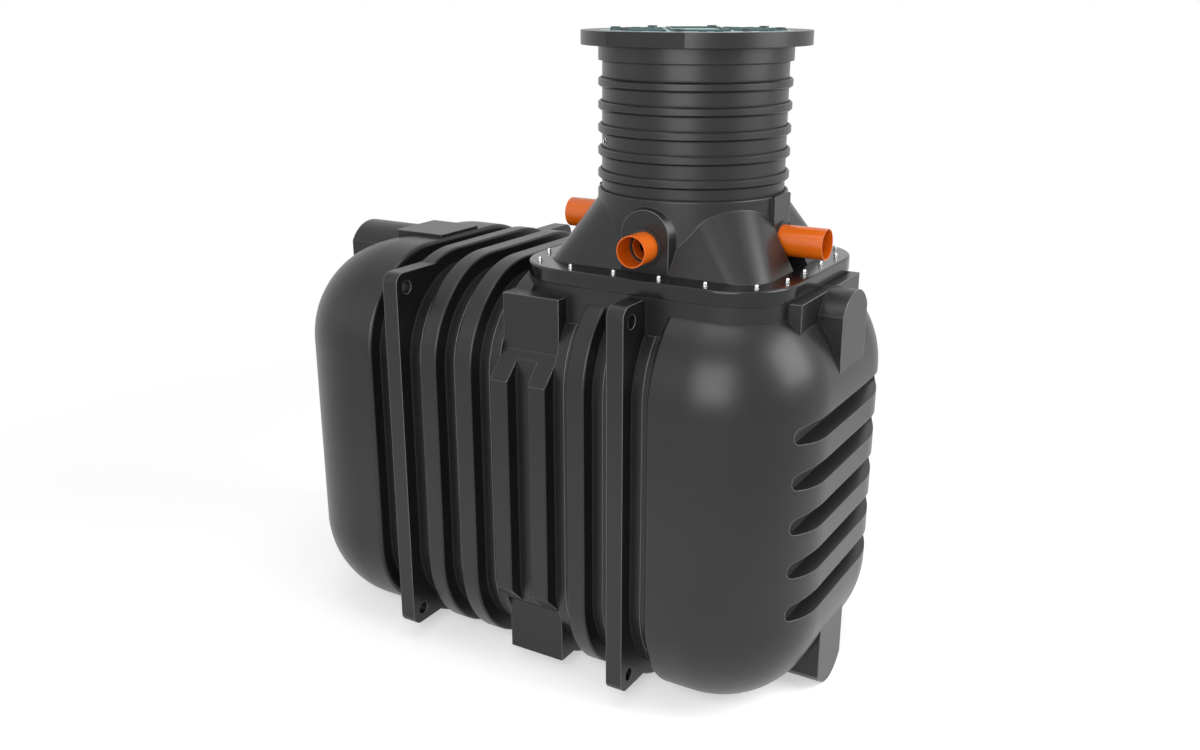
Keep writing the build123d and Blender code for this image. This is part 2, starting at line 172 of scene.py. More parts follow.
def settle(piece: bpy.types.Object, smooth_degrees: float = 35.0) -> bpy.types.Object:
    """Leave edit mode, move the place into the mesh and shade the piece.

    Args:
        piece: The object to finish.
        smooth_degrees: Edges flatter than this are shaded smooth.

    Returns:
        The same object.
    """
    if bpy.context.mode != "OBJECT":
        bpy.ops.object.mode_set(mode="OBJECT")
    only(piece)
    bpy.ops.object.transform_apply(location=True, rotation=True, scale=True)
    bpy.ops.object.shade_smooth_by_angle(angle=math.radians(smooth_degrees))
    return piece


def soften(piece: bpy.types.Object, width: float, segments: int = 2) -> None:
    """Round a piece's edges with a bevel modifier that is applied.

    Args:
        piece: The object to soften.
        width: Width of the bevel in metres.
        segments: Number of facets across it.
    """
    only(piece)
    bevel = piece.modifiers.new("soft edges", "BEVEL")
    bevel.width = width
    bevel.segments = segments
    bevel.limit_method = "ANGLE"
    bevel.angle_limit = math.radians(40)
    bpy.ops.object.modifier_apply(modifier=bevel.name)


def copy_to(piece: bpy.types.Object, place: Matrix) -> bpy.types.Object:
    """Copy a finished piece, with a mesh of its own, to another place.

    Args:
        piece: The finished piece, whose place is in its mesh.
        place: Where the copy goes, against the first piece.

    Returns:
        The copy.
    """
    only(piece)
    bpy.ops.object.duplicate(linked=False)
    copy = bpy.context.object
    copy.data.transform(place)
    return copy


def join(pieces: list[bpy.types.Object], name: str) -> bpy.types.Object:
    """Join finished pieces into one object.

    Args:
        pieces: The objects, at least one.
        name: Name of the joined object.

    Returns:
        The joined object.
    """
    only(pieces[0])
    for piece in pieces:
        piece.select_set(True)
    if len(pieces) > 1:
        bpy.ops.object.join()
    joined = bpy.context.object
    joined.name = name
    joined.data.name = name
    return joined


def cylinder(radius: float, low: Vector, height: float, facets: int) -> bpy.types.Object:
    """Add an upright cylinder by its foot.

    Args:
        radius: Radius in metres.
        low: Middle of its lower face.
        height: Height in metres.
        facets: Number of sides.

    Returns:
        The new object.
    """
    bpy.ops.object.select_all(action="DESELECT")
    middle = Vector(low) + Vector((0, 0, height / 2))
    bpy.ops.mesh.primitive_cylinder_add(vertices=facets, radius=radius, depth=height, location=middle)
    return bpy.context.object


def hand_over(piece: bpy.types.Object, material: bpy.types.Material) -> None:
    """Give a finished piece its material, slot and body, and log it.

    Args:
        piece: The finished piece.
        material: Its finish.
    """
    piece.data.materials.clear()
    piece.data.materials.append(material)
    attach(piece, BODY)
    log.info("%s: %d faces", piece.name, len(piece.data.polygons))


def dress(names: tuple[str, ...], material: bpy.types.Material) -> None:
    """Give CAD nodes a material in their own slots.

    Args:
        names: The nodes.
        material: Their material.
    """
    for name in names:
        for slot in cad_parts[name].material_slots:
            slot.material = material
        log.info("%s takes %s", name, material.name)


@dataclass(frozen=True)
class Finish:
    """What every finish shares: a new material with an object-space start."""

    name: str

    def begin(self) -> tuple[bpy.types.Material, bpy.types.NodeTree, bpy.types.NodeSocket]:
        """Make the material.

        Returns:
            The material, its node tree and the object coordinates' socket.
        """
        material = bpy.data.materials.new(self.name)
        material.use_nodes = True
        tree = material.node_tree
        tree.nodes.clear()
        coords = add_node(tree, "ShaderNodeTexCoord")
        return material, tree, coords.outputs["Object"]

    def close(self, tree: bpy.types.NodeTree, shader: bpy.types.Node) -> None:
        """Link the shader to the material's output."""
        add_node(tree, "ShaderNodeOutputMaterial", links={"Surface": shader.outputs["BSDF"]})


@dataclass(frozen=True)
class MouldedPolyethylene(Finish):
    """Rotationally moulded polyethylene: deep grey-black and satin.

    It cools against a blasted steel mould, so its skin has a fine grain and
    slow, shallow waves that make a highlight wander a little.
    """

    name: str = "rotomoulded_polyethylene"
    colour: str = "111112"
    worn: str = "171718"
    """Colour of its lighter patches."""
    worn_from: tuple[float, float] = (0.35, 0.7)
    """Height of the cloudy texture where a patch starts, and where it is full."""
    painted_edge_highlight: str = "868687"
    # Colour of the painted highlight along the moulding's outer edges.
    """Colour of the moulding's outer edges, which handling rubs lighter."""
    edge_highlight_share: float = 0.75
    # How much of the painted edge highlight shows, from 0 to 1.
    """How much of the edge tone shows, from 0 to 1."""
    edge_mm: float = 5.0
    # Radius of the rounded edges that catch the light, which also sets the width of the painted edge
    # highlight.
    """Radius of the rounded edges that catch the light."""
    edge_highlight_turn: tuple[float, float] = (0.99, 0.86)
    # Cosine of the skin's turn where the painted edge highlight starts, and where it is full.
    """Cosine of the skin's turn where the edge tone starts, and where it is full."""
    edge_highlight_air: tuple[float, float] = (0.78, 0.95)
    # Open share of the air round an edge where the painted highlight starts, and where it is full.
    """Open share of the air round an edge where the tone starts, and where it is full."""
    crease_mm: float = 14.0
    """How far from an inside corner the skin turns matt."""
    crease_air: tuple[float, float] = (0.85, 0.55)
    """Open share of the air in a corner where the skin starts to turn matt, and where it is."""
    crease_rough: float = 0.6
    """Roughness that a corner adds."""
    roughness: float = 0.34
    polish: tuple[float, float] = (-0.04, 0.05)
    """How far the grain takes the roughness down and up."""
    ior: float = 1.45
    grain_mm: float = 4.0
    grain_relief: tuple[float, float] = (0.10, 0.4)
    """How much of the grain's relief shows, and its depth in millimetres."""
    wave_mm: float = 180.0
    wave_relief: tuple[float, float] = (0.35, 2.5)
    """How much of the waves' relief shows, and its depth in millimetres."""
    band_mm: float = 0.0
    """Pitch of the fine rings left by turning, or 0 for none."""
    band_relief: tuple[float, float] = (0.3, 0.15)
    """How much of the rings' relief shows, and its depth in millimetres."""

    def mottle(self, tree: bpy.types.NodeTree, place: bpy.types.NodeSocket) -> bpy.types.NodeSocket:
        """Mottle the colour with its lighter patches.

        Args:
            tree: Node tree that takes the nodes.
            place: Object coordinates.

        Returns:
            The socket of the colour.
        """
        cloud = add_node(
            tree,
            "ShaderNodeTexNoise",
            {"Scale": 1 / (2 * self.wave_mm * MM), "Detail": 3.0},
            {"Vector": place},
        )
        patches = add_node(
            tree,
            "ShaderNodeMapRange",
            {"From Min": self.worn_from[0], "From Max": self.worn_from[1]},
            {"Value": cloud.outputs["Fac"]},
        )
        colour = add_node(tree, "ShaderNodeMix", {"data_type": "RGBA"}, {0: patches.outputs["Result"]})
        colour.inputs[MIX_FIRST].default_value = linear(self.colour)
        colour.inputs[MIX_SECOND].default_value = linear(self.worn)
        return colour.outputs[MIX_RESULT]

    def corners(
        self, tree: bpy.types.NodeTree, rounded: bpy.types.NodeSocket
    ) -> tuple[bpy.types.NodeSocket, bpy.types.NodeSocket]:
        """Find the outer edges that take a painted highlight, and the inside corners.

        Args:
            tree: Node tree that takes the nodes.
            rounded: Normal of the skin with its edges rounded.

        Returns:
            The share of the painted edge highlight, and the roughness that corners add.
        """
        flat = add_node(tree, "ShaderNodeNewGeometry")
        turn = add_node(
            tree,
            "ShaderNodeVectorMath",
            {"operation": "DOT_PRODUCT"},
            {0: rounded, 1: flat.outputs["Normal"]},
        )
        # painted highlight: the colour turns lighter where the rounded normal leaves the flat one
        highlight_by_turn = add_node(
            tree,
            "ShaderNodeMapRange",
            {"From Min": self.edge_highlight_turn[0], "From Max": self.edge_highlight_turn[1], "To Max": self.edge_highlight_share},
            {"Value": turn.outputs["Value"]},
        )
        air = add_node(
            tree, "ShaderNodeAmbientOcclusion", {"samples": 6, "Distance": self.crease_mm * MM}
        )
        outside = add_node(
            tree,
            "ShaderNodeMapRange",
            {"From Min": self.edge_highlight_air[0], "From Max": self.edge_highlight_air[1]},
            {"Value": air.outputs["AO"]},
        )
        # share of the painted edge highlight, kept to outer edges where the air is open
        edge = add_node(
            tree,
            "ShaderNodeMath",
            {"operation": "MULTIPLY"},
            {0: highlight_by_turn.outputs["Result"], 1: outside.outputs["Result"]},
        )
        matt = add_node(
            tree,
            "ShaderNodeMapRange",
            {"From Min": self.crease_air[0], "From Max": self.crease_air[1], "To Max": self.crease_rough},
            {"Value": air.outputs["AO"]},
        )
        return edge.outputs[0], matt.outputs["Result"]

    def skin(
        self,
        tree: bpy.types.NodeTree,
        place: bpy.types.NodeSocket,
        grain: bpy.types.NodeSocket,
        rounded: bpy.types.NodeSocket,
    ) -> bpy.types.NodeSocket:
        """Lay the grain, the slow waves and the turned rings over the rounded edges.

        Args:
            tree: Node tree that takes the nodes.
            place: Object coordinates.
            grain: Height of the grain.
            rounded: Normal of the skin with its edges rounded.

        Returns:
            The socket of the new normal.
        """
        fine = add_node(
            tree,
            "ShaderNodeBump",
            {"Strength": self.grain_relief[0], "Distance": self.grain_relief[1] * MM},
            {"Height": grain, "Normal": rounded},
        )
        wave = add_node(
            tree, "ShaderNodeTexNoise", {"Scale": 1 / (self.wave_mm * MM), "Detail": 1.0}, {"Vector": place}
        )
        slow = add_node(
            tree,
            "ShaderNodeBump",
            {"Strength": self.wave_relief[0], "Distance": self.wave_relief[1] * MM},
            {"Height": wave.outputs["Fac"], "Normal": fine.outputs["Normal"]},
        )
        if self.band_mm == 0:
            return slow.outputs["Normal"]
        # a wave texture of scale 1 repeats every tenth of pi metres
        lines = add_node(
            tree,
            "ShaderNodeTexWave",
            {"bands_direction": "Z", "Scale": math.pi / (10 * self.band_mm * MM), "Distortion": 0.2},
            {"Vector": place},
        )
        rings = add_node(
            tree,
            "ShaderNodeBump",
            {"Strength": self.band_relief[0], "Distance": self.band_relief[1] * MM},
            {"Height": lines.outputs["Fac"], "Normal": slow.outputs["Normal"]},
        )
        return rings.outputs["Normal"]

    def build(self) -> bpy.types.Material:
        """Build the material.

        Returns:
            The material.
        """
        material, tree, place = self.begin()
        # a blasted mould leaves about 0.5 mm grain, too fine to show, so it is drawn coarser
        grain = add_node(
            tree, "ShaderNodeTexNoise", {"Scale": 1 / (self.grain_mm * MM), "Detail": 2.0}, {"Vector": place}
        )
        satin = add_node(
            tree,
            "ShaderNodeMapRange",
            {"To Min": self.roughness + self.polish[0], "To Max": self.roughness + self.polish[1]},
            {"Value": grain.outputs["Fac"]},
        )
        rounded = add_node(tree, "ShaderNodeBevel", {"samples": 8, "Radius": self.edge_mm * MM})
        edge, matt = self.corners(tree, rounded.outputs["Normal"])
        rough = add_node(
            tree, "ShaderNodeMath", {"operation": "ADD"}, {0: satin.outputs["Result"], 1: matt}
        )
        # mixes the painted edge highlight into the base colour
        tone = add_node(
            tree, "ShaderNodeMix", {"data_type": "RGBA"}, {0: edge, MIX_FIRST: self.mottle(tree, place)}
        )
        tone.inputs[MIX_SECOND].default_value = linear(self.painted_edge_highlight)
        shader = add_node(
            tree,
            "ShaderNodeBsdfPrincipled",
            {"IOR": self.ior},
            {
                "Base Color": tone.outputs[MIX_RESULT],
                "Roughness": rough.outputs[0],
                "Normal": self.skin(tree, place, grain.outputs["Fac"], rounded.outputs["Normal"]),
            },
        )
        self.close(tree, shader)
        return material


@dataclass(frozen=True)
class ExtrudedPvc(Finish):
    """Extruded rigid PVC drain pipe: orange-brown and glossy."""

    name: str = "extruded_orange_pvc"
    colour: str = "dc660c"
    shade: str = "ce5c0a"
    patches: float = 14.0
    """Lighter and darker patches in a metre."""
    roughness: tuple[float, float] = (0.16, 0.30)
    """Roughness of its most and of its least polished spots."""
    ior: float = 1.53
    grain_mm: float = 3.0
    grain_relief: tuple[float, float] = (0.06, 0.3)
    """How much of the grain's relief shows, and its depth in millimetres."""

    def build(self) -> bpy.types.Material:
        """Build the material.

        Returns:
            The material.
        """
        material, tree, place = self.begin()
        cloud = add_node(
            tree, "ShaderNodeTexNoise", {"Scale": self.patches, "Detail": 4.0}, {"Vector": place}
        )
        colour = add_node(tree, "ShaderNodeMix", {"data_type": "RGBA"}, {0: cloud.outputs["Fac"]})
        colour.inputs[MIX_FIRST].default_value = linear(self.shade)
        colour.inputs[MIX_SECOND].default_value = linear(self.colour)
        grain = add_node(
            tree, "ShaderNodeTexNoise", {"Scale": 1 / (self.grain_mm * MM), "Detail": 2.0}, {"Vector": place}
        )
        rough = add_node(
            tree,
            "ShaderNodeMapRange",
            {"To Min": self.roughness[0], "To Max": self.roughness[1]},
            {"Value": grain.outputs["Fac"]},
        )
        skin = add_node(
            tree,
            "ShaderNodeBump",
            {"Strength": self.grain_relief[0], "Distance": self.grain_relief[1] * MM},
            {"Height": grain.outputs["Fac"]},
        )
        shader = add_node(
            tree,
            "ShaderNodeBsdfPrincipled",
            {"IOR": self.ior},
            {
                "Base Color": colour.outputs[MIX_RESULT],
                "Roughness": rough.outputs["Result"],
                "Normal": skin.outputs["Normal"],
            },
        )
        self.close(tree, shader)
        return material


@dataclass(frozen=True)
class SealRubber(Finish):
    """Moulded EPDM rubber: near black and dull, with a slight bloom."""

    name: str = "moulded_epdm_rubber"
    colour: str = "0c0c0c"
    bloom: str = "171717"
    patches: float = 60.0
    """Patches of bloom in a metre."""
    patch_relief: tuple[float, float] = (0.15, 0.2)
    """How much of the patches' relief shows, and its depth in millimetres."""
    roughness: float = 0.55
    ior: float = 1.52

    def build(self) -> bpy.types.Material:
        """Build the material.

        Returns:
            The material.
        """
        material, tree, place = self.begin()
        cloud = add_node(
            tree, "ShaderNodeTexNoise", {"Scale": self.patches, "Detail": 3.0}, {"Vector": place}
        )
        colour = add_node(tree, "ShaderNodeMix", {"data_type": "RGBA"}, {0: cloud.outputs["Fac"]})
        colour.inputs[MIX_FIRST].default_value = linear(self.colour)
        colour.inputs[MIX_SECOND].default_value = linear(self.bloom)
        skin = add_node(
            tree,
            "ShaderNodeBump",
            {"Strength": self.patch_relief[0], "Distance": self.patch_relief[1] * MM},
            {"Height": cloud.outputs["Fac"]},
        )
        shader = add_node(
            tree,
            "ShaderNodeBsdfPrincipled",
            {"IOR": self.ior, "Roughness": self.roughness},
            {"Base Color": colour.outputs[MIX_RESULT], "Normal": skin.outputs["Normal"]},
        )
        self.close(tree, shader)
        return material


@dataclass(frozen=True)
class StainlessSteel(Finish):
    """Tumbled stainless steel: bright, with small differences in its polish."""

    name: str = "tumbled_stainless_steel"
    colour: str = "c4c6c8"
    bright: str = "e2e3e4"
    roughness: tuple[float, float] = (0.14, 0.3)
    """Roughness of its most and of its least polished spots."""
    spots: float = 300.0
    """Spots of other polish in a metre."""

    def build(self) -> bpy.types.Material:
        """Build the material.

        Returns:
            The material.
        """
        material, tree, place = self.begin()
        wear = add_node(tree, "ShaderNodeTexNoise", {"Scale": self.spots, "Detail": 3.0}, {"Vector": place})
        rough = add_node(
            tree,
            "ShaderNodeMapRange",
            {"To Min": self.roughness[0], "To Max": self.roughness[1]},
            {"Value": wear.outputs["Fac"]},
        )
        colour = add_node(tree, "ShaderNodeMix", {"data_type": "RGBA"}, {0: wear.outputs["Fac"]})
        colour.inputs[MIX_FIRST].default_value = linear(self.colour)
        colour.inputs[MIX_SECOND].default_value = linear(self.bright)
        shader = add_node(
            tree,
            "ShaderNodeBsdfPrincipled",
            {"Metallic": 1.0},
            {"Base Color": colour.outputs[MIX_RESULT], "Roughness": rough.outputs["Result"]},
        )
        self.close(tree, shader)
        return material


@dataclass(frozen=True)
class LidPolypropylene(Finish):
    """Injection moulded polypropylene of the lid: grey-green, with a fine spark-eroded grain."""

    name: str = "lid_polypropylene"
    colour: str = "93a8a8"
    shade: str = "81999a"
    patches: float = 9.0
    """Lighter and darker patches in a metre."""
    roughness: float = 0.45
    ior: float = 1.49
    grain_mm: float = 2.5
    grain_relief: tuple[float, float] = (0.12, 0.3)
    """How much of the grain's relief shows, and its depth in millimetres."""

    def build(self) -> bpy.types.Material:
        """Build the material.

        Returns:
            The material.
        """
        material, tree, place = self.begin()
        cloud = add_node(
            tree, "ShaderNodeTexNoise", {"Scale": self.patches, "Detail": 5.0}, {"Vector": place}
        )
        colour = add_node(tree, "ShaderNodeMix", {"data_type": "RGBA"}, {0: cloud.outputs["Fac"]})
        colour.inputs[MIX_FIRST].default_value = linear(self.colour)
        colour.inputs[MIX_SECOND].default_value = linear(self.shade)
        grain = add_node(
            tree, "ShaderNodeTexNoise", {"Scale": 1 / (self.grain_mm * MM), "Detail": 2.0}, {"Vector": place}
        )
        skin = add_node(
            tree,
            "ShaderNodeBump",
            {"Strength": self.grain_relief[0], "Distance": self.grain_relief[1] * MM},
            {"Height": grain.outputs["Fac"]},
        )
        shader = add_node(
            tree,
            "ShaderNodeBsdfPrincipled",
            {"IOR": self.ior, "Roughness": self.roughness},
            {"Base Color": colour.outputs[MIX_RESULT], "Normal": skin.outputs["Normal"]},
        )
        self.close(tree, shader)
        return material


@dataclass
class PlateScrews:
    """Twenty cap nuts with washers, round the bolted plate."""

    nut_radius: float = 7.6 * MM
    nut_height: float = 5.0 * MM
    cap_radius: float = 6.9 * MM
    cap_height: float = 14.5 * MM
    cap_round: float = 0.94
    """Share of the cap's radius that its round top takes."""
    washer_radius: float = 9.5 * MM
    washer_height: float = 1.5 * MM
    washer_edge: float = 0.4 * MM
    nut_edge: float = 0.8 * MM
    edge_gap: float = 41.5 * MM
    """From the plate's edge to the screws' middles."""
    long_side: tuple[float, float] = (88.0 * MM, 261.0 * MM)
    """How far from the plate's middle the screws of a long side stand."""
    short_side: tuple[float, float] = (79.0 * MM, 232.0 * MM)
    """How far from the plate's middle the screws of a short side stand."""
    corner: tuple[float, float] = (422.0 * MM, 370.0 * MM)
    """Where a corner's screw stands, from the plate's middle."""

    def places(self) -> list[Vector]:
        """Find where the screws stand on the plate's top face.

        Returns:
            The middles of their feet.
        """
        low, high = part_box("dome_plate")
        middle = (low + high) / 2
        half_x = (high.x - low.x) / 2 - self.edge_gap
        half_y = (high.y - low.y) / 2 - self.edge_gap
        spots = [(x, half_y) for x in self.long_side] + [(half_x, y) for y in self.short_side]
        spots.append(self.corner)
        return [
            Vector((middle.x + sx * x, middle.y + sy * y, high.z))
            for x, y in spots
            for sx in (-1, 1)
            for sy in (-1, 1)
        ]

    def model(self) -> bpy.types.Object:
        """Model one cap nut on its washer at the origin.

        Returns:
            The finished cap nut.
        """
        washer = cylinder(self.washer_radius, Vector((0, 0, 0)), self.washer_height, 24)
        settle(washer)
        soften(washer, self.washer_edge, 1)
        foot = Vector((0, 0, self.washer_height))
        nut = cylinder(self.nut_radius, foot, self.nut_height, 6)
        settle(nut, 20.0)
        soften(nut, self.nut_edge, 2)
        cap = cylinder(self.cap_radius, foot, self.cap_height, 24)
        start_edit(cap)
        pick_faces(cap, lambda centre, normal: normal.z > 0.9)
        bpy.ops.mesh.bevel(offset=self.cap_radius * self.cap_round, segments=7, affect="EDGES")
        settle(cap)
        return join([washer, nut, cap], "plate_screws")

    def build(self, steel: bpy.types.Material) -> None:
        """Build all the screws.

        Args:
            steel: Their material.
        """
        first = self.model()
        screws = [copy_to(first, Matrix.Translation(place)) for place in self.places()]
        bpy.data.objects.remove(first)
        hand_over(join(screws, "plate_screws"), steel)


@dataclass
class PipeSockets:
    """What shows inside each pipe's mouth: a rubber lip ring and an inner sleeve."""

    depth: float = 84.0 * MM
    """From a pipe's mouth to the lip ring."""
    ring_length: float = 10.0 * MM
    sleeve_length: float = 48.0 * MM
    wall: float = 3.2 * MM
    """The pipe's own wall."""
    ring_inner: float = 45.0 * MM
    """Inner radius of the ring, and radius of the middle of the sleeve's wall."""
    sleeve_wall: float = 4.0 * MM
    ring_gap: float = 0.2 * MM
    """Between the ring and the pipe's wall."""
    edge: float = 0.8 * MM
    """Width of the soft edges."""

    def tube(self, outer: float, inner: float, length: float) -> bpy.types.Object:
        """Model a tube along Z from the origin.

        Args:
            outer: Outer radius.
            inner: Inner radius.
            length: Length.

        Returns:
            The finished tube.
        """
        tube = cylinder(outer, Vector((0, 0, 0)), length, 64)
        start_edit(tube)
        pick_faces(tube, lambda centre, normal: abs(normal.z) > 0.9)
        bpy.ops.mesh.inset(thickness=outer - inner, use_individual=True)
        bpy.ops.mesh.bridge_edge_loops()
        settle(tube)
        soften(tube, self.edge, 2)
        return tube

    def build(self, rubber: bpy.types.Material, pvc: bpy.types.Material) -> None:
        """Build the ring and sleeve of each pipe.

        Args:
            rubber: The rings' material.
            pvc: The sleeves' material.
        """
        for name in Nodes.PIPES.value:
            low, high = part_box(name)
            middle = (low + high) / 2
            radius = (high.z - low.z) / 2 - self.wall
            mouth, turn = {
                "pipe_right": (Vector((high.x, middle.y, middle.z)), Euler((0, -math.pi / 2, 0))),
                "pipe_left": (Vector((low.x, middle.y, middle.z)), Euler((0, math.pi / 2, 0))),
                "pipe_front": (Vector((middle.x, low.y, middle.z)), Euler((-math.pi / 2, 0, 0))),
            }[name]
            place = Matrix.Translation(mouth) @ turn.to_matrix().to_4x4()
            ring = self.tube(radius - self.ring_gap, self.ring_inner, self.ring_length)
            ring.data.transform(place @ Matrix.Translation((0, 0, self.depth)))
            ring.name = name.replace("pipe", "lip_ring")
            hand_over(ring, rubber)
            half_wall = self.sleeve_wall / 2
            sleeve = self.tube(self.ring_inner + half_wall, self.ring_inner - half_wall, self.sleeve_length)
            sleeve.data.transform(place @ Matrix.Translation((0, 0, self.depth + self.ring_length)))
            sleeve.name = name.replace("pipe", "inner_sleeve")
            hand_over(sleeve, pvc)


@dataclass
class ShaftFitting:
    """Small bolt head and washer on the shaft, between two of its rings."""

    radius: float = 329.0 * MM
    """From the shaft's axis to the washer's foot."""
    height: float = 424.0 * MM
    """Above the bolted plate."""
    bearing: float = 226.4
    """Degrees round the shaft from +X."""
    washer: tuple[float, float] = (11.0 * MM, 1.5 * MM)
    """Radius and height of the washer."""
    head: tuple[float, float] = (8.0 * MM, 6.5 * MM)
    """Radius and height of the bolt's head."""
    crown: tuple[float, float] = (1.0 * MM, 0.5 * MM)
    """How far the head's top face is set in, and how far it rises."""
    washer_edge: float = 0.4 * MM

    def build(self, steel: bpy.types.Material) -> None:
        """Build the bolt.

        Args:
            steel: Its material.
        """
        washer = cylinder(self.washer[0], Vector((0, 0, 0)), self.washer[1], 32)
        settle(washer)
        soften(washer, self.washer_edge, 1)
        head = cylinder(self.head[0], Vector((0, 0, self.washer[1])), self.head[1], 6)
        start_edit(head)
        pick_faces(head, lambda centre, normal: normal.z > 0.9)
        bpy.ops.mesh.inset(thickness=self.crown[0])
        bpy.ops.transform.translate(value=(0, 0, self.crown[1]))
        settle(head, 20.0)
        bolt = join([washer, head], "shaft_bolt")
        plate_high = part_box("dome_plate")[1]
        shaft_low, shaft_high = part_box("shaft")
        middle = (shaft_low + shaft_high) / 2
        turn = Matrix.Rotation(math.radians(self.bearing), 4, "Z")
        out = Matrix.Rotation(math.pi / 2, 4, "Y")
        place = Matrix.Translation((middle.x, middle.y, plate_high.z + self.height))
        bolt.data.transform(place @ turn @ Matrix.Translation((self.radius, 0, 0)) @ out)
        hand_over(bolt, steel)


@dataclass
class Lid:
    """Screwed lid: a pale disc with a framed strip, rows of raised dashes and eight wing screws."""

    edge_round: float = 3.0 * MM
    groove: tuple[float, float, float] = (9.0 * MM, 4.0 * MM, 2.0 * MM)
    """The ring groove's distance from the rounded edge, its width and its depth."""
    turn: float = 30.0
    """Degrees that the strip is turned by, from Y."""
    strip: tuple[float, float] = (170.0 * MM, 460.0 * MM)
    """Width and length of the strip inside its bars."""
    bar: tuple[float, float] = (12.0 * MM, 6.0 * MM)
    """Width and height of the bars round the strip."""
    dash: tuple[float, float, float] = (30.0 * MM, 10.0 * MM, 4.5 * MM)
    """Length, width and height of a dash."""
    dash_edge: float = 1.2 * MM
    dash_pitch: tuple[float, float] = (52.0 * MM, 36.0 * MM)
    """From dash to dash in a row, and from row to row."""
    strip_gap: tuple[float, float] = (8.0 * MM, 14.0 * MM)
    """Least distance of a dash from the strip's sides, and of its middle from the strip's ends."""
    rim_gap: float = 34.0 * MM
    """Least distance of a dash's middle from the lid's edge."""
    screw_gap: float = 32.0 * MM
    """Least distance of a dash's middle from a screw's."""
    screw_circle: float = 292.0 * MM
    """Radius of the circle that the screws stand on."""
    screw_count: int = 8
    screw_start: float = 15.0
    """Degrees of the first screw from +X."""
    washer: tuple[float, float] = (11.0 * MM, 1.5 * MM)
    """Radius and height of a screw's washer."""
    washer_edge: float = 0.4 * MM
    hub: tuple[float, float] = (6.0 * MM, 5.0 * MM)
    """Radius and height of a screw's hub."""
    hub_edge: float = 0.8 * MM
    wing: tuple[float, float, float] = (36.0 * MM, 3.0 * MM, 6.0 * MM)
    """Span, thickness and height of a screw's wings."""
    wing_edge: float = 0.7 * MM
    wing_turns: tuple[float, float] = (45.0, 135.0)
    """Degrees that the two pairs of wings are turned by."""
    wing_lift: float = 3.4 * MM
    """The wings' low edge above the lid."""
    low: Vector = field(init=False)
    """Middle of the disc's low face."""
    middle: Vector = field(init=False)
    """Middle of the disc's top face."""
    radius: float = field(init=False)

    def __post_init__(self) -> None:
        """Read the lid's place and size from its CAD node."""
        low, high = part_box("lid")
        self.middle = (low + high) / 2
        self.middle.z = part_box("lid_frame")[1].z
        self.low = Vector((self.middle.x, self.middle.y, low.z))
        self.radius = (high.x - low.x) / 2

    def place(self, along: float, across: float, height: float) -> Vector:
        """Find a point from its distances along and across the strip and above the lid's top face."""
        turned = Matrix.Rotation(math.radians(self.turn), 3, "Z") @ Vector((across, along, height))
        return self.middle + turned

    def block(self, size: tuple[float, float, float], middle: Vector, turn: float) -> bpy.types.Object:
        """Add a block by the middle of its low face.

        Args:
            size: Across, along and up.
            middle: Middle of its low face.
            turn: Its turn about Z in degrees.

        Returns:
            The finished block.
        """
        bpy.ops.object.select_all(action="DESELECT")
        raised = Vector(middle) + Vector((0, 0, size[2] / 2))
        bpy.ops.mesh.primitive_cube_add(size=1.0, location=raised, rotation=(0, 0, math.radians(turn)))
        block = bpy.context.object
        block.scale = size
        return settle(block, 20.0)

    def build_disc(self, pale: bpy.types.Material) -> None:
        """Build the disc with its rounded edge and a shallow ring groove near it.

        Args:
            pale: Its material.
        """
        height = self.middle.z - self.low.z
        groove_gap, groove_width, groove_depth = self.groove
        disc = cylinder(self.radius, self.low, height, 128)
        top = self.middle.z
        start_edit(disc)
        pick_faces(disc, lambda centre, normal: normal.z > 0.9)
        bpy.ops.mesh.bevel(offset=self.edge_round, segments=3, affect="EDGES")
        bpy.ops.mesh.select_all(action="DESELECT")
        pick_faces(disc, lambda centre, normal: normal.z > 0.99 and centre.z > top - 0.01 * MM)
        bpy.ops.mesh.inset(thickness=groove_gap)
        bpy.ops.mesh.inset(thickness=groove_width)
        bpy.ops.mesh.select_all(action="DESELECT")
        ring = self.radius - self.edge_round - groove_gap - groove_width / 2
        pick_faces(
            disc,
            lambda centre, normal: normal.z > 0.99
            and abs((centre - self.middle).length - ring) < groove_width / 2,
        )
        bpy.ops.mesh.extrude_region_move(TRANSFORM_OT_translate={"value": (0, 0, -groove_depth)})
        settle(disc)
        disc.name = "lid_disc"
        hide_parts("lid")
        hand_over(disc, pale)

    def build_relief(self, dark: bpy.types.Material) -> None:
        """Build the bars round the strip and the dashes beside it.

        Args:
            dark: Their material.
        """
        width, length = self.strip
        bar, rise = self.bar
        pieces = []
        for side in (-1, 1):
            across = side * (width + bar) / 2
            pieces.append(self.block((bar, length + 2 * bar, rise), self.place(0, across, 0), self.turn))
            along = side * (length + bar) / 2
            pieces.append(self.block((width, bar, rise), self.place(along, 0, 0), self.turn))
        first = self.block(self.dash, Vector((0, 0, 0)), self.turn)
        soften(first, self.dash_edge, 1)
        step, row = self.dash_pitch
        reach = self.radius - self.rim_gap
        beside = width / 2 + bar + self.dash[0] / 2 + self.strip_gap[0]
        beyond = length / 2 + bar + self.strip_gap[1]
        rows = int(self.radius / row)
        steps = int(self.radius / step) + 1
        for n in range(-rows, rows + 1):
            for m in range(-steps, steps + 1):
                across = (m + 0.5 * (n % 2)) * step
                along = n * row
                if abs(across) < beside and abs(along) < beyond:
                    continue
                if math.hypot(along, across) > reach or self.near_screw(along, across):
                    continue
                pieces.append(copy_to(first, Matrix.Translation(self.place(along, across, 0))))
        bpy.data.objects.remove(first)
        relief = join(pieces, "lid_relief")
        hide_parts("lid")
        hand_over(relief, dark)

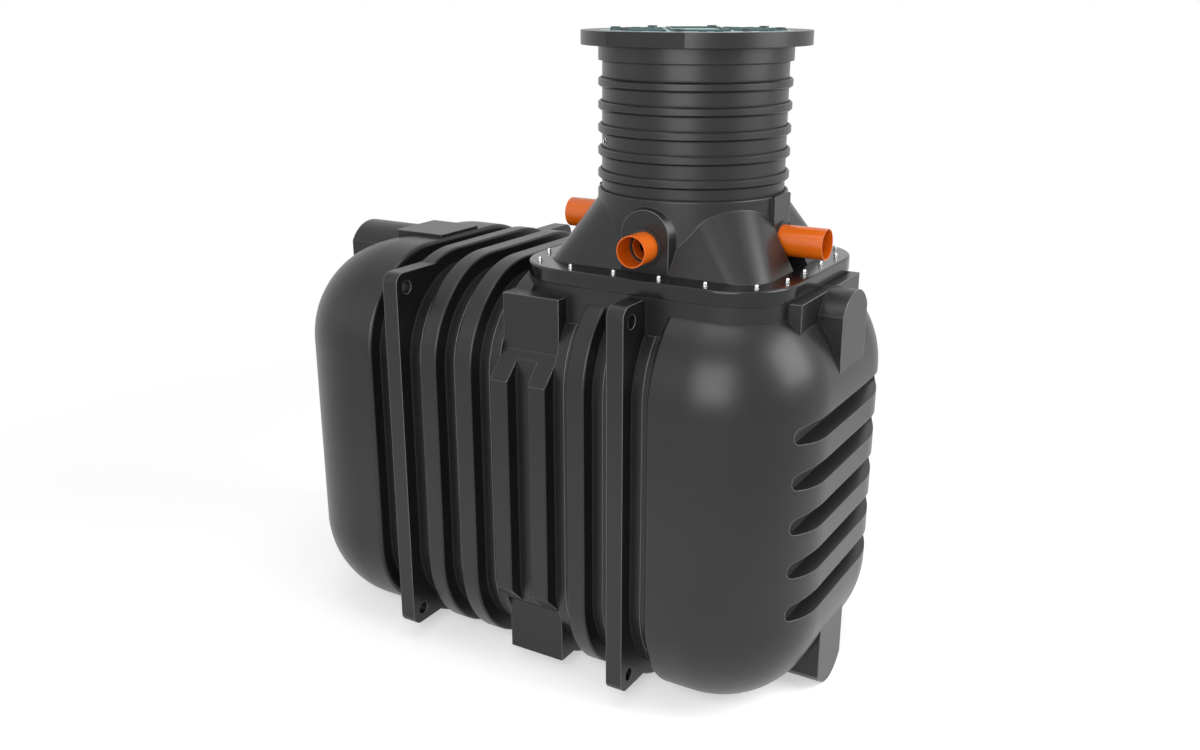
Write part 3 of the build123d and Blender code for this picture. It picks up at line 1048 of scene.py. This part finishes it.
    def screw_places(self) -> list[Vector]:
        """Find where the wing screws stand.

        Returns:
            The middles of their feet.
        """
        angles = [self.screw_start + n * 360 / self.screw_count for n in range(self.screw_count)]
        turns = [math.radians(angle) for angle in angles]
        return [self.middle + self.screw_circle * Vector((math.cos(a), math.sin(a), 0)) for a in turns]

    def near_screw(self, along: float, across: float) -> bool:
        """Tell whether a dash there would lie under a wing screw."""
        spot = self.place(along, across, 0)
        return any((spot - screw).length < self.screw_gap for screw in self.screw_places())

    def build_screws(self, steel: bpy.types.Material) -> None:
        """Build the wing screws: a washer, a hub and crossed wings.

        Args:
            steel: Their material.
        """
        washer = cylinder(self.washer[0], Vector((0, 0, 0)), self.washer[1], 24)
        settle(washer)
        soften(washer, self.washer_edge, 1)
        hub = cylinder(self.hub[0], Vector((0, 0, self.washer[1])), self.hub[1], 20)
        settle(hub)
        soften(hub, self.hub_edge, 2)
        wings = [self.block(self.wing, Vector((0, 0, self.wing_lift)), turn) for turn in self.wing_turns]
        for wing in wings:
            soften(wing, self.wing_edge, 2)
        first = join([washer, hub, *wings], "lid_screws")
        screws = [copy_to(first, Matrix.Translation(place)) for place in self.screw_places()]
        bpy.data.objects.remove(first)
        joined = join(screws, "lid_screws")
        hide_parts("lid")
        hand_over(joined, steel)

    def build(self, pale: bpy.types.Material, dark: bpy.types.Material, steel: bpy.types.Material) -> None:
        """Build the whole lid.

        Args:
            pale: Material of the disc.
            dark: Material of the bars and dashes.
            steel: Material of the screws.
        """
        self.build_disc(pale)
        self.build_relief(dark)
        self.build_screws(steel)


@dataclass(frozen=True)
class SoftBox:
    """A square area lamp that points at the tank's middle."""

    name: str
    place: tuple[float, float, float]
    size: float
    power: float
    """In watts."""
    target: tuple[float, float, float] = (0.0, 0.0, 0.9)

    def hang(self) -> None:
        """Hang the lamp."""
        bpy.ops.object.select_all(action="DESELECT")
        bpy.ops.object.light_add(type="AREA", location=self.place)
        lamp = bpy.context.object
        lamp.name = self.name
        lamp.data.shape = "SQUARE"
        lamp.data.size = self.size
        lamp.data.energy = self.power
        aim = Vector(self.target) - Vector(self.place)
        lamp.rotation_euler = aim.to_track_quat("-Z", "Y").to_euler()


@dataclass
class Studio:
    """Pale floor, soft lamps and the camera at the photograph's viewpoint."""

    camera_place: tuple[float, float, float] = (2.32897, -3.80543, 2.48743)
    yaw: float = 30.766
    """Degrees that the camera is turned from looking along +Y."""
    pitch: float = 17.909
    """Degrees that it looks down."""
    lens: float = 34.908
    sensor: float = 36.0
    floor_size: float = 160.0
    floor_colour: str = "e4e4e4"
    floor_lift: float = 0.45
    """What the camera sees of the floor beyond the light on it."""
    white_from: tuple[float, float] = (1.8, 4.5)
    """Metres from the middle where the floor starts to turn white, and where it is."""
    fill: float = 0.36
    """Strength of the light from all round."""
    lamps: tuple[SoftBox, ...] = (
        SoftBox("right_softbox", (5.0, 0.9, 3.7), 3.4, 215.0),
        SoftBox("front_softbox", (1.4, -5.2, 3.2), 3.6, 195.0),
        SoftBox("left_softbox", (-4.4, -3.8, 3.2), 3.2, 15.0),
        SoftBox("top_softbox", (0.2, -0.9, 6.4), 3.4, 90.0),
    )

    def build(self) -> None:
        """Build the stage."""
        self.set_camera()
        self.lay_floor()
        self.light_world()
        for lamp in self.lamps:
            lamp.hang()
        bpy.context.scene.view_settings.view_transform = "Standard"

    def set_camera(self) -> None:
        """Place the camera."""
        bpy.ops.object.select_all(action="DESELECT")
        turn = (math.radians(90 - self.pitch), 0, math.radians(self.yaw))
        bpy.ops.object.camera_add(location=self.camera_place, rotation=turn)
        camera = bpy.context.object
        camera.name = "photo_camera"
        camera.data.lens = self.lens
        camera.data.sensor_width = self.sensor
        camera.data.sensor_fit = "HORIZONTAL"
        bpy.context.scene.camera = camera

    def seen_directly(self, tree: bpy.types.NodeTree) -> bpy.types.Node:
        """Tell the rays that show a backdrop from those that only light the object.

        Args:
            tree: Node tree that takes the nodes.

        Returns:
            A node whose output is 1 for camera, glossy and transmission rays.
        """
        rays = add_node(tree, "ShaderNodeLightPath")
        mirror = add_node(
            tree,
            "ShaderNodeMath",
            {"operation": "MAXIMUM"},
            {0: rays.outputs["Is Glossy Ray"], 1: rays.outputs["Is Transmission Ray"]},
        )
        return add_node(
            tree,
            "ShaderNodeMath",
            {"operation": "MAXIMUM"},
            {0: rays.outputs["Is Camera Ray"], 1: mirror.outputs[0]},
        )

    def lay_floor(self) -> None:
        """Lay the floor, white to the camera and grey where the object shades it."""
        bpy.ops.object.select_all(action="DESELECT")
        bpy.ops.mesh.primitive_plane_add(size=self.floor_size, location=(0, 0, 0))
        floor = bpy.context.object
        floor.name = "studio_floor"
        material = bpy.data.materials.new("studio_floor")
        material.use_nodes = True
        tree = material.node_tree
        tree.nodes.clear()
        seen = self.seen_directly(tree)
        place = add_node(tree, "ShaderNodeTexCoord")
        distance = add_node(
            tree, "ShaderNodeVectorMath", {"operation": "LENGTH"}, {0: place.outputs["Object"]}
        )
        far = add_node(
            tree,
            "ShaderNodeMapRange",
            {
                "interpolation_type": "SMOOTHSTEP",
                "From Min": self.white_from[0],
                "From Max": self.white_from[1],
            },
            {"Value": distance.outputs["Value"]},
        )
        paint = add_node(tree, "ShaderNodeBsdfDiffuse", {"Color": linear(self.floor_colour)})
        lift = add_node(tree, "ShaderNodeEmission", {"Color": (1, 1, 1, 1)})
        strength = add_node(tree, "ShaderNodeMath", {"operation": "MULTIPLY"}, {0: seen.outputs[0]})
        strength.inputs[1].default_value = self.floor_lift
        tree.links.new(strength.outputs[0], lift.inputs["Strength"])
        near = add_node(tree, "ShaderNodeAddShader", links={0: paint.outputs[0], 1: lift.outputs[0]})
        white = add_node(tree, "ShaderNodeEmission", {"Color": (1, 1, 1, 1), "Strength": 1.0})
        share = add_node(
            tree,
            "ShaderNodeMath",
            {"operation": "MULTIPLY"},
            {0: seen.outputs[0], 1: far.outputs["Result"]},
        )
        mixed = add_node(
            tree,
            "ShaderNodeMixShader",
            links={0: share.outputs[0], 1: near.outputs[0], 2: white.outputs[0]},
        )
        add_node(tree, "ShaderNodeOutputMaterial", links={"Surface": mixed.outputs[0]})
        floor.data.materials.append(material)

    def light_world(self) -> None:
        """Light everything from all round, white where the camera looks past the object."""
        world = bpy.data.worlds.new("studio_world")
        bpy.context.scene.world = world
        world.use_nodes = True
        tree = world.node_tree
        tree.nodes.clear()
        seen = self.seen_directly(tree)
        fill = add_node(tree, "ShaderNodeBackground", {"Color": (1, 1, 1, 1), "Strength": self.fill})
        white = add_node(tree, "ShaderNodeBackground", {"Color": (1, 1, 1, 1), "Strength": 1.0})
        mixed = add_node(
            tree,
            "ShaderNodeMixShader",
            links={0: seen.outputs[0], 1: fill.outputs[0], 2: white.outputs[0]},
        )
        add_node(tree, "ShaderNodeOutputWorld", links={"Surface": mixed.outputs[0]})


def main() -> None:
    """Build the stage, the finishes and the pieces in order."""
    logging.basicConfig(level=logging.INFO, format="%(name)s: %(message)s")
    Studio().build()
    steel = StainlessSteel().build()
    pvc = ExtrudedPvc().build()
    rubber = SealRubber().build()
    dress(Nodes.MOULDED.value, MouldedPolyethylene().build())
    dress(Nodes.PRESSED.value, MouldedPolyethylene(name="pressed_polyethylene_plate", roughness=0.18).build())
    # the shaft and the lid frame keep only a faint painted edge highlight
    ribbed = MouldedPolyethylene(
        name="ribbed_shaft_polyethylene", band_mm=6.0, edge_highlight_share=0.12, edge_mm=1.5, crease_mm=10.0
    )
    dress(Nodes.TURNED.value, ribbed.build())
    dress(Nodes.PIPES.value, pvc)
    dress(Nodes.SEALS.value, rubber)
    pale = LidPolypropylene().build()
    dark = LidPolypropylene(name="lid_relief_polypropylene", colour="24494c", shade="1f4043").build()
    dress(Nodes.LID.value, pale)
    PlateScrews().build(steel)
    PipeSockets().build(rubber, pvc)
    ShaftFitting().build(steel)
    dull = StainlessSteel(
        name="cast_steel_of_lid_screws", colour="4c5052", bright="64696b", roughness=(0.35, 0.5)
    )
    Lid().build(pale, dark, dull.build())


if __name__ == "__main__":
    main()
